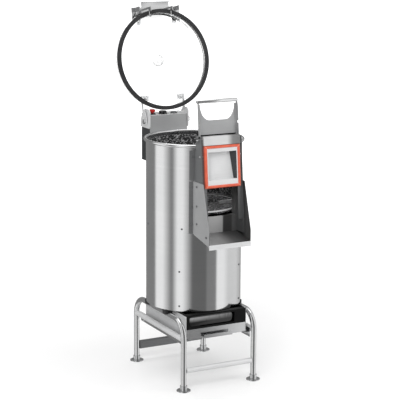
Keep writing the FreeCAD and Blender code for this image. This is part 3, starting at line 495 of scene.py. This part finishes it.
# timer knob: ribbed grip, a flat crown and a white pointer line
def buildTimerKnob():
    knob = {"ribs": 24, "ribDepth": 0.0012, "pointer": (0.0007, 0.0065)}
    middle, low, high = middleOf("timer_knob")
    tall = high[2] - low[2]
    radius = (high[0] - low[0]) / 2 - 0.0002
    foot = tall - 0.0122
    profile = [
        (0, 0), (0.0039, 0), (0.0039, foot), (radius - 0.0004, foot), (radius, foot + 0.0006),
        (radius, foot + 0.0022), (radius - 0.0012, foot + 0.003), (radius - 0.0024, tall - 0.0012),
        (radius - 0.0036, tall - 0.0002), (0, tall - 0.0002),
    ]
    made = turnedShape(profile, (middle[0], middle[1], low[2]), knob["ribs"] * 3)
    grip = []
    for face in made.faces:
        at = face.calc_center_median() - Vector((middle[0], middle[1], low[2]))
        flat = math.hypot(at.x, at.y)
        turn = int(round((math.atan2(at.y, at.x) / math.tau) * knob["ribs"] * 3 - 0.5)) % 3
        if foot + 0.0032 < at.z < tall - 0.0014 and flat > radius * 0.8 and turn == 0:
            grip.append(face)
    bmesh.ops.inset_individual(made, faces=grip, thickness=0.0003, depth=-knob["ribDepth"])
    piece = newPiece("timerKnobGrip", made, "blackGloss", "timer")
    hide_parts("timer_knob")
    line = bmesh.new()
    halfWide, reach = knob["pointer"]
    bmesh.ops.create_cube(line, size=1.0)
    bmesh.ops.scale(line, verts=line.verts, vec=(halfWide * 2, reach, 0.0004))
    bmesh.ops.translate(line, verts=line.verts, vec=(middle[0], middle[1] - radius + 0.008, high[2] - 0.0003))
    bmesh.ops.bevel(line, geom=line.edges, offset=0.0001, segments=1, affect="EDGES", profile=0.5,
                    material=-1)
    newPiece("timerPointer", line, "polished", "timer")


# lid knob: turned grip on a neck, built shut and swung open with the lid
def buildLidKnob():
    knob = {"radius": 0.0238, "tall": 0.0318, "neck": 0.0118, "foot": 0.011}
    r, t, n = knob["radius"], knob["tall"], knob["neck"]
    profile = [
        (0, 0.0002), (n, 0.0002), (n, 0.007), (r - 0.006, 0.0085), (r - 0.0015, 0.0115), (r, 0.015),
        (r, t - 0.009), (r - 0.001, t - 0.005), (r - 0.004, t - 0.0015), (r - 0.009, t - 0.0002), (0.0052, t),
        (0.0048, t - 0.002), (0, t - 0.002),
    ]
    made = turnedShape(profile, (0, axisY - lidFrame["hinge"][1], knob["foot"]))
    bmesh.ops.transform(made, matrix=lidPlace, verts=made.verts)
    piece = newPiece("lidKnobGrip", made, "thickClear", "lid")
    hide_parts("lid_knob")


# drum: outer wall, rolled rim and inner wall turned as one skin, with its outlet window
# and water slot cut
def buildDrum():
    drum = {"outer": 0.1905, "inner": 0.189, "low": 0.297, "beadAt": (0.1935, 0.9548), "beadR": 0.0065,
            "beadSteps": 28, "steps": 192, "margin": 0.02,
            "window": (-0.0808, 0.0808, -0.2, -0.1, 0.6762, 0.8138),
            "slot": (-0.022, 0.006, 0.18, 0.2, 0.928, 0.94)}
    outer, inner, low = drum["outer"], drum["inner"], drum["low"]
    beadX, beadZ = drum["beadAt"]
    profile = [(inner, low), (outer, low)]
    start = -math.acos((outer - beadX) / drum["beadR"])
    sweep = (math.tau - math.acos((inner - beadX) / drum["beadR"])) - start
    for index in range(drum["beadSteps"] + 1):
        turn = start + sweep * index / drum["beadSteps"]
        profile.append((beadX + drum["beadR"] * math.cos(turn), beadZ + drum["beadR"] * math.sin(turn)))
    profile.append((inner, low))
    made = turnedShape(profile, (0, axisY, 0), drum["steps"])
    for x0, x1, y0, y1, z0, z1 in (drum["window"], drum["slot"]):
        for place, normal in (((x0, 0, 0), (1, 0, 0)), ((x1, 0, 0), (1, 0, 0)), ((0, 0, z0), (0, 0, 1)),
                              ((0, 0, z1), (0, 0, 1))):
            region = []
            for face in made.faces:
                at = face.calc_center_median()
                if y0 < at.y - axisY < y1 and x0 - drum["margin"] < at.x < x1 + drum["margin"]:
                    region.append(face)
            edges = {edge for face in region for edge in face.edges}
            verts = {vert for face in region for vert in face.verts}
            bmesh.ops.bisect_plane(made, geom=list(verts) + list(edges) + region, dist=0.000001,
                                   plane_co=place, plane_no=normal)
        gone = []
        for face in made.faces:
            at = face.calc_center_median()
            if y0 < at.y - axisY < y1 and x0 < at.x < x1 and z0 < at.z < z1:
                gone.append(face)
        bmesh.ops.delete(made, geom=gone, context="FACES")
        rims = [edge for edge in made.edges if len(edge.link_faces) == 1]
        bmesh.ops.bridge_loops(made, edges=rims)
    bmesh.ops.recalc_face_normals(made, faces=made.faces)
    piece = newPiece("drumSkin", made, "polishedDrum", "machine")
    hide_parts("drum_shell")


# rim round the abrasive disc's upper edge, bright with painted light
def buildDiscRim():
    rim = {"inner": 0.1762, "outer": 0.1786, "low": 0.6905, "high": 0.6962}
    profile = [(rim["inner"], rim["low"]), (rim["outer"], rim["low"]), (rim["outer"], rim["high"] - 0.0006),
               (rim["outer"] - 0.0006, rim["high"]), (rim["inner"], rim["high"]), (rim["inner"], rim["low"])]
    made = turnedShape(profile, (0, axisY, 0), 160)
    newPiece("discRim", made, "satinPaintedLight", "disc")


# a flat slab: its outline is given in the two axes that it lies in, and low to high in the third is
# its thickness
def slabShape(outline, across, low, high):
    made = bmesh.new()
    verts = []
    for first, second in outline:
        spot = [first, second]
        spot.insert(across, low)
        verts.append(made.verts.new(spot))
    face = made.faces.new(verts)
    grown = bmesh.ops.extrude_face_region(made, geom=[face])
    shift = [0.0, 0.0, 0.0]
    shift[across] = high - low
    moved = [item for item in grown["geom"] if isinstance(item, bmesh.types.BMVert)]
    bmesh.ops.translate(made, verts=moved, vec=shift)
    bmesh.ops.recalc_face_normals(made, faces=made.faces)
    return made


def joined(shapes):
    whole = bmesh.new()
    for shape in shapes:
        held = bpy.data.meshes.new("held")
        shape.to_mesh(held)
        shape.free()
        whole.from_mesh(held)
        bpy.data.meshes.remove(held)
    return whole


# door seal: a half-round rubber section carried round the door's edge, mitred at its corners
def buildDoorSeal():
    wide, steps = seal["wide"], 10
    section = [(0.0, seal["back"])]
    for index in range(steps + 1):
        turn = math.pi * index / steps
        section.append((wide / 2 - wide / 2 * math.cos(turn), seal["front"] - seal["bulge"] * math.sin(turn)))
    section.append((wide, seal["back"]))
    made = bmesh.new()
    loops = []
    for side, end in ((-1, seal["low"]), (1, seal["low"]), (1, seal["high"]), (-1, seal["high"])):
        inward = 1 if end == seal["low"] else -1
        loops.append([made.verts.new((side * (seal["half"] - reach), depth, end + inward * reach))
                      for reach, depth in section])
    for first, second in zip(loops, loops[1:] + loops[:1]):
        for index in range(len(section)):
            after = (index + 1) % len(section)
            made.faces.new((first[index], first[after], second[after], second[index]))
    bmesh.ops.recalc_face_normals(made, faces=made.faces)
    bmesh.ops.transform(made, matrix=doorPlace, verts=made.verts)
    piece = newPiece("sealSection", made, "doorSeal", "door")
    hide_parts("door_gasket")


# the recess's right wall, which leans inwards more at its top
def buildRecessWall():
    wall = {"front": (0.0606, 0.0072), "rearTop": (0.044, 0.0310), "rearLow": (0.0555, 0.0242), "low": 0.0328,
            "high": 0.138, "thick": 0.0003}
    made = bmesh.new()
    verts = [made.verts.new(spot) for spot in (
        (*wall["front"], wall["low"]), (*wall["rearLow"], wall["low"]), (*wall["rearTop"], wall["high"]),
        (*wall["front"], wall["high"]))]
    face = made.faces.new(verts)
    grown = bmesh.ops.extrude_face_region(made, geom=[face])
    moved = [item for item in grown["geom"] if isinstance(item, bmesh.types.BMVert)]
    bmesh.ops.translate(made, verts=moved, vec=(wall["thick"], 0, 0))
    bmesh.ops.recalc_face_normals(made, faces=made.faces)
    bmesh.ops.transform(made, matrix=doorPlace, verts=made.verts)
    # its dark steel is painted shade
    newPiece("recessWall", made, "shadedSheet", "door")


# a black strip standing in for the shadow in the gap between the door's header and its handle plate: painted
# shadow
def buildHeaderGap():
    gap = {"half": 0.077, "front": 0.0338, "rear": 0.0343, "low": 0.2001, "high": 0.2052}
    made = bmesh.new()
    bmesh.ops.create_cube(made, size=1.0)
    bmesh.ops.scale(made, verts=made.verts, vec=(gap["half"] * 2, gap["rear"] - gap["front"],
                                                 gap["high"] - gap["low"]))
    bmesh.ops.translate(made, verts=made.verts, vec=(0, (gap["front"] + gap["rear"]) / 2,
                                                     (gap["low"] + gap["high"]) / 2))
    bmesh.ops.transform(made, matrix=doorPlace, verts=made.verts)
    newPiece("headerGap", made, "trayBlack", "door")


# lid's moulded edge: two fine ribs round the clear pan, seen as pale grey lines
def buildLidRibs():
    rib = {"radii": (0.1984, 0.1925), "levels": (0.0035, 0.0098), "thick": 0.0011}
    shapes = []
    for radius, level in zip(rib["radii"], rib["levels"]):
        profile = []
        for index in range(9):
            turn = math.tau * index / 8
            profile.append((radius + rib["thick"] * math.cos(turn), level + rib["thick"] * math.sin(turn)))
        shapes.append(turnedShape(profile, (0, axisY - lidFrame["hinge"][1], 0), 128))
    made = joined(shapes)
    bmesh.ops.transform(made, matrix=lidPlace, verts=made.verts)
    newPiece("lidRibs", made, "ribGrey", "lid")


# door's handle plate: round-cornered hand hole, two side wings with their notches
def buildHandlePlate():
    plate = {"half": 0.084, "footHalf": 0.0775, "foot": 0.16, "step": 0.2005, "top": 0.331, "ear": 0.32,
             "rear": 0.036, "thick": 0.0015, "holeHalf": 0.074, "holeLow": 0.26, "cornerWide": 0.04,
             "notch": 0.248, "deep": 0.016}
    half, rear, thick, step = plate["half"], plate["rear"], plate["thick"], plate["step"]
    side = [(plate["footHalf"], plate["foot"]), (plate["footHalf"], step), (half, step), (half, plate["top"]),
            (half - thick, plate["top"]), (half - thick, plate["ear"])]
    middle = plate["holeHalf"] - plate["cornerWide"]
    for index in range(17):
        turn = math.radians(90 * index / 16)
        side.append((middle + plate["cornerWide"] * math.cos(turn),
                     plate["ear"] - (plate["ear"] - plate["holeLow"]) * math.sin(turn)))
    outline = side + [(-x, z) for x, z in reversed(side)]
    shapes = [slabShape(outline, 1, rear - thick, rear)]
    front, notch = rear - plate["deep"], plate["notch"]
    wing = [(rear, step), (front, step), (front, notch - 0.005), (front + 0.009, notch - 0.005),
            (front + 0.009, notch + 0.005), (front, notch + 0.005), (front, plate["top"] - 0.024),
            (rear - 0.01, plate["top"]), (rear, plate["top"])]
    shapes.append(slabShape(wing, 0, half - thick, half))
    shapes.append(slabShape(wing, 0, -half, thick - half))
    made = joined(shapes)
    bmesh.ops.transform(made, matrix=doorPlace, verts=made.verts)
    piece = newPiece("handlePlate", made, "greySheet", "door")
    softenEdges(piece, 0.0003)
    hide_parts("door_handle_plate")


# door's handle bar: a tube with a rounded end
def buildHandleBar():
    bar = {"radius": 0.007, "left": -0.0915, "right": 0.0855, "y": 0.0285, "z": 0.3325, "round": 0.003}
    radius, soft = bar["radius"], bar["round"]
    long = bar["right"] - bar["left"]
    profile = [(0, 0), (radius - soft, 0), (radius - soft * 0.3, soft * 0.3), (radius, soft),
               (radius, long - soft), (radius - soft * 0.3, long - soft * 0.3),
               (radius - soft, long), (0, long)]
    made = turnedShape(profile, (0, 0, 0), 48)
    lay = Matrix.Translation((bar["left"], bar["y"], bar["z"])) @ Matrix.Rotation(math.radians(90), 4, "Y")
    bmesh.ops.transform(made, matrix=doorPlace @ lay, verts=made.verts)
    piece = newPiece("handleBar", made, "polished", "door")
    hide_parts("door_handle_bar")


# peel tray's scoop: a soft-edged panel on its front that carries the tray's painted sheen
def buildTrayScoop():
    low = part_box("peel_tray")[0]
    scoop = {"left": -0.122, "right": 0.066, "low": 0.2515, "high": 0.2905, "deep": 0.004, "round": 0.014}
    made = bmesh.new()
    bmesh.ops.create_cube(made, size=1.0)
    bmesh.ops.scale(made, verts=made.verts, vec=(scoop["right"] - scoop["left"], scoop["deep"],
                                                 scoop["high"] - scoop["low"]))
    bmesh.ops.translate(made, verts=made.verts, vec=((scoop["left"] + scoop["right"]) / 2,
                                                     low[1] - scoop["deep"] * 0.1,
                                                     (scoop["low"] + scoop["high"]) / 2))
    ends = [edge for edge in made.edges if abs((edge.verts[0].co - edge.verts[1].co).y) > 0.001]
    bmesh.ops.bevel(made, geom=ends, offset=scoop["round"], segments=6, affect="EDGES", profile=0.5,
                    material=-1)
    front = [face for face in made.faces if face.normal.y < -0.9]
    rims = {edge for face in front for edge in face.edges}
    bmesh.ops.bevel(made, geom=list(rims), offset=0.0012, segments=2, affect="EDGES", profile=0.5,
                    material=-1)
    newPiece("trayScoop", made, "trayPaintedSheen", bodyOfNode["peel_tray"])


buildDrum()
buildDiscRim()
buildDoorSeal()
buildHeaderGap()
buildRecessWall()
buildHandlePlate()
buildHandleBar()
buildTrayScoop()
buildLidRibs()
buildStopButton()
buildTimerKnob()
buildLidKnob()
print("new pieces made")


# floor: pale, and white where the camera sees it away from the machine; polished metal sees the cards instead
def buildFloor():
    floor = {"size": 80.0, "albedo": 0.82, "lift": 0.26, "shine": 0.3, "near": 0.5, "far": 5.0}
    made = bmesh.new()
    bmesh.ops.create_grid(made, x_segments=1, y_segments=1, size=floor["size"])
    mesh = bpy.data.meshes.new("floor")
    made.to_mesh(mesh)
    made.free()
    piece = bpy.data.objects.new("floor", mesh)
    bpy.context.scene.collection.objects.link(piece)
    material, recipe = newMaterial("paleFloor")
    rays = recipe.tree.nodes.new("ShaderNodeLightPath")
    seen = Wire(recipe, rays.outputs["Is Camera Ray"])
    through = Wire(recipe, rays.outputs["Is Transmission Ray"])
    coords = recipe.coords()
    away = recipe.node("ShaderNodeVectorMath", {"operation": "LENGTH"}, [coords], 1)
    far = recipe.node("ShaderNodeMapRange", None, {"Value": away, "From Min": floor["near"],
                                                   "From Max": floor["far"], "To Min": floor["lift"]})
    lift = recipe.node("ShaderNodeMath", {"operation": "MAXIMUM"}, [seen, through]) * far
    cloud = recipe.noise(coords, 2.0, 2.0)
    base = recipe.ramp(cloud, [(0.2, grey(floor["albedo"])), (0.8, grey(floor["albedo"] + 0.02))])
    glow = colourMix(recipe, lift, grey(0.0), grey(1.0))
    recipe.surface(Base_Color=base, Roughness=0.2, Specular_IOR_Level=floor["shine"], Emission_Color=glow,
                   Emission_Strength=1.0)
    mesh.materials.append(material)
    piece.visible_glossy = False


# studio: pale soft light from all round, and three large lamps
def buildStudio():
    studio = {"ambient": 0.62, "aimAt": (0, 0, 0.7), "lamps": [
        {"name": "keyLamp", "at": (-2.2, -2.6, 3.2), "size": 2.2, "power": 70.0, "shines": False},
        {"name": "fillLamp", "at": (2.8, -2.4, 2.2), "size": 2.4, "power": 30.0, "shines": False},
        {"name": "topLamp", "at": (0.0, 0.6, 4.2), "size": 3.4, "power": 40.0, "shines": True},
    ]}
    world = bpy.data.worlds.new("studio")
    bpy.context.scene.world = world
    recipe = Recipe(world)
    rays = recipe.tree.nodes.new("ShaderNodeLightPath")
    seen = Wire(recipe, rays.outputs["Is Camera Ray"])
    through = Wire(recipe, rays.outputs["Is Transmission Ray"])
    whole = recipe.node("ShaderNodeMath", {"operation": "MAXIMUM"}, [seen, through])
    colour = colourMix(recipe, whole, grey(studio["ambient"]), grey(1.0))
    shader = recipe.node("ShaderNodeBackground", None, [colour, 1.0])
    recipe.node("ShaderNodeOutputWorld", None, [shader])
    for lamp in studio["lamps"]:
        data = bpy.data.lights.new(lamp["name"], "AREA")
        data.shape = "DISK"
        data.size = lamp["size"]
        data.energy = lamp["power"]
        made = bpy.data.objects.new(lamp["name"], data)
        made.location = lamp["at"]
        aim = Vector(studio["aimAt"]) - made.location
        made.rotation_euler = aim.to_track_quat("-Z", "Y").to_euler()
        made.visible_glossy = lamp["shines"]
        bpy.context.scene.collection.objects.link(made)


# reflector cards: boards in four plain tones round the machine that only its polished metal sees.
# Each board runs between two bearings, from the front towards +X, and fades into the next.
def buildCards():
    cards = {
        "radius": 1.35, "low": -1.2, "height": 3.8,
        "tones": {"white": 1.0, "pale": 0.75, "grey": 0.25, "dark": 0.15},
        "boards": [
            (-180, -130, "grey"), (-122, -102, "white"), (-80, -76, "grey"), (-64, -52, "white"),
            (-30, 0, "dark"), (4, 24, "grey"), (28, 45, "white"), (60, 90, "pale"), (140, 180, "grey"),
        ],
    }
    made = bmesh.new()
    bmesh.ops.create_cone(made, cap_ends=False, segments=96, radius1=cards["radius"], radius2=cards["radius"],
                          depth=cards["height"])
    bmesh.ops.translate(made, verts=made.verts, vec=(0, axisY, cards["height"] / 2 + cards["low"]))
    mesh = bpy.data.meshes.new("cards")
    made.to_mesh(mesh)
    made.free()
    piece = bpy.data.objects.new("cards", mesh)
    bpy.context.scene.collection.objects.link(piece)
    stops = []
    for first, last, tone in cards["boards"]:
        for bearing in (first, last):
            stops.append(((bearing + 180) / 360, grey(cards["tones"][tone])))
    material, recipe = newMaterial("cardBoards")
    x, y, z = recipe.place()[1]
    around = recipe.node("ShaderNodeMath", {"operation": "ARCTAN2"}, [x, axisY - y]) / math.tau + 0.5
    glow = recipe.node("ShaderNodeEmission", None, [recipe.ramp(around, stops), 1.0])
    recipe.node("ShaderNodeOutputMaterial", None, [glow])
    mesh.materials.append(material)
    piece.visible_camera = False
    piece.visible_diffuse = False
    piece.visible_shadow = False
    piece.visible_transmission = False


# camera: fitted to the feet, the rim and the door of the photograph
def buildCamera():
    shot = {"azimuth": -27.76, "elevation": 11.81, "roll": 0.35, "distance": 5.67572, "lens": 128.058,
            "aim": (0.02202, -0.00359, 0.70578)}
    turn, rise, roll = [math.radians(shot[key]) for key in ("azimuth", "elevation", "roll")]
    back = Vector((math.sin(turn) * math.cos(rise), -math.cos(turn) * math.cos(rise), math.sin(rise)))
    right = Vector((math.cos(turn), math.sin(turn), 0))
    up = back.cross(right)
    rolledRight = right * math.cos(roll) + up * math.sin(roll)
    rolledUp = up * math.cos(roll) - right * math.sin(roll)
    data = bpy.data.cameras.new("photoCamera")
    data.sensor_width = 36.0
    data.lens = shot["lens"]
    data.clip_end = 200.0
    camera = bpy.data.objects.new("photoCamera", data)
    place = Matrix((rolledRight, rolledUp, back)).transposed().to_4x4()
    place.translation = Vector(shot["aim"]) + back * shot["distance"]
    camera.matrix_world = place
    bpy.context.scene.collection.objects.link(camera)
    bpy.context.scene.camera = camera


buildFloor()
buildStudio()
buildCards()
buildCamera()
bpy.context.scene.view_settings.view_transform = "Standard"
print("studio ready")
